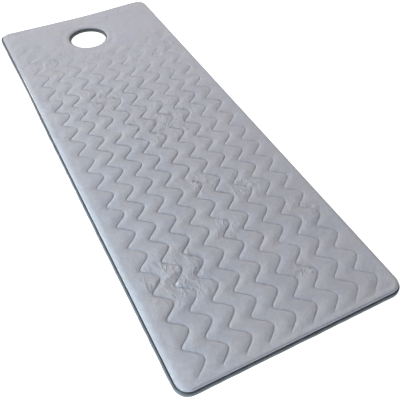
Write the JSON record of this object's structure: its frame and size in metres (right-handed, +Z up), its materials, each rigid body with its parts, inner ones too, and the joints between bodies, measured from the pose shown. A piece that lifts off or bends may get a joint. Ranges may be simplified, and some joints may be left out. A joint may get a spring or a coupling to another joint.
{
  "type": "heated infrared massage table mat",
  "caption": "Flat heated far-infrared mat with a wavy quilted top, dark bound edge, face hole and side inlet; folds in half across its middle for storage.",
  "frame": {"origin": "under the middle of the mat, on the surface that it lies on", "axes": "+Z up; +Y along the mat towards the head end with the face hole; +X towards the side with the inlet"},
  "size_m": [0.7, 1.88, 0.02],
  "materials": {
    "quilted_fabric": "brushed knit, soft matte",
    "binding_fabric": "woven tape, matte",
    "base_fabric": "anti-slip dotted, matte",
    "foam": "open cell, matte",
    "felt": "needled felt, matte",
    "foil": "bright, slightly creased",
    "carrier": "non-woven, matte",
    "wadding": "fibre wadding, matte",
    "cable_sheath": "satin",
    "lead_sheath": "satin",
    "cutout_case": "matte",
    "sensor_case": "semi-gloss",
    "inlet_plastic": "fine texture, matte",
    "board": "solder mask",
    "brass": "polished",
    "steel": "plated"
  },
  "bodies": {
    "foot_half": {"foot_base_cover": "base_fabric", "foot_foam_core": "foam", "foot_insulation_felt": "felt", "foot_reflector_foil": "foil", "foot_heater_carrier": "carrier", "foot_heating_cable": "cable_sheath", "foot_cable_end_cap": "lead_sheath", "foot_thermal_cutout": "cutout_case", "foot_feed_lead": "lead_sheath", "trunk_feed_lead": "lead_sheath", "sensor_lead": "lead_sheath", "temperature_sensor": "sensor_case", "foot_wadding": "wadding", "foot_quilted_cover": "quilted_fabric", "foot_edge_binding": "binding_fabric", "inlet_lower_shell": "inlet_plastic", "inlet_upper_shell": "inlet_plastic", "inlet_pin_block": "inlet_plastic", "inlet_pin_1": "brass", "inlet_pin_2": "brass", "inlet_pin_3": "brass", "inlet_pin_4": "brass", "inlet_terminal_board": "board", "inlet_screw_1": "steel", "inlet_screw_2": "steel"},
    "head_half": {"head_base_cover": "base_fabric", "head_foam_core": "foam", "head_insulation_felt": "felt", "head_reflector_foil": "foil", "head_heater_carrier": "carrier", "head_heating_cable": "cable_sheath", "head_cable_end_cap": "lead_sheath", "head_thermal_cutout": "cutout_case", "head_feed_lead": "lead_sheath", "head_wadding": "wadding", "head_quilted_cover": "quilted_fabric", "head_edge_binding": "binding_fabric", "face_hole_binding": "binding_fabric"}
  },
  "joints": [
    {"name": "fold", "type": "hinge", "parent": "foot_half", "child": "head_half", "pos_m": [0, 0, 0.021], "axis": [1, 0, 0], "range_deg": [0, 180]}
  ]
}
